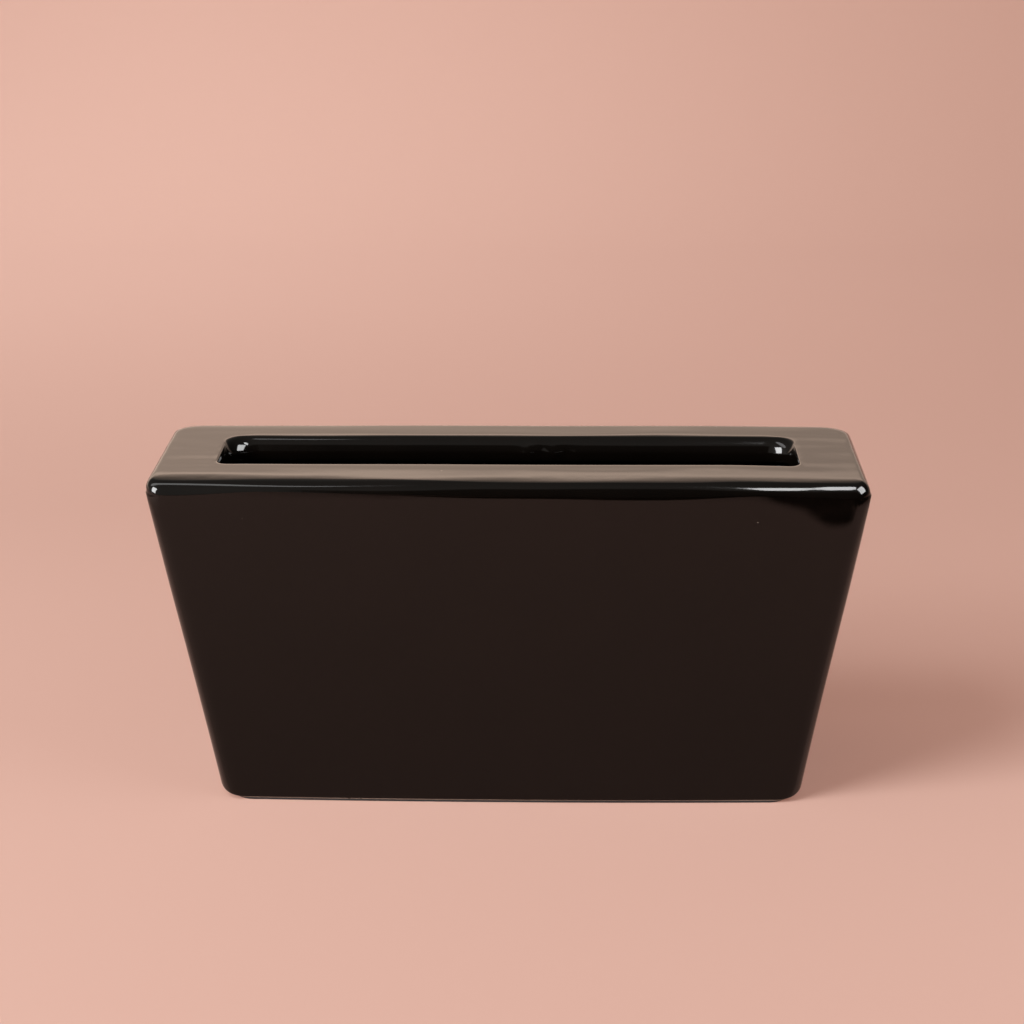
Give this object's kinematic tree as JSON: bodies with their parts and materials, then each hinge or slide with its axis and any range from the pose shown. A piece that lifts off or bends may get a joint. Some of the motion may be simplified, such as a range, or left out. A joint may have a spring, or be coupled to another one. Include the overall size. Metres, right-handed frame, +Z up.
{
  "type": "rectangular flower pot",
  "caption": "Low rectangular ceramic planter with leaning ends, a broad flat rim and one long narrow planting slot, glazed gloss black.",
  "frame": {"origin": "on the ground under the middle of the pot", "axes": "+X along the pot's length to the right seen from the front, +Y from front to back, +Z up"},
  "size_m": [0.24, 0.072, 0.116],
  "materials": {
    "bare_clay": "bare fired stoneware, matt and slightly gritty",
    "black_glaze": "warm black gloss glaze, smooth with a slight ripple"
  },
  "bodies": {
    "root": {"base_slab": "bare_clay", "front_slab": "bare_clay", "back_slab": "bare_clay", "left_end_slab": "bare_clay", "right_end_slab": "bare_clay", "base_seam_coil": "bare_clay", "corner_seam_coil_front_left": "bare_clay", "corner_seam_coil_front_right": "bare_clay", "corner_seam_coil_back_left": "bare_clay", "corner_seam_coil_back_right": "bare_clay", "rim_slab": "bare_clay", "glaze_coat": "black_glaze"}
  },
  "joints": []
}
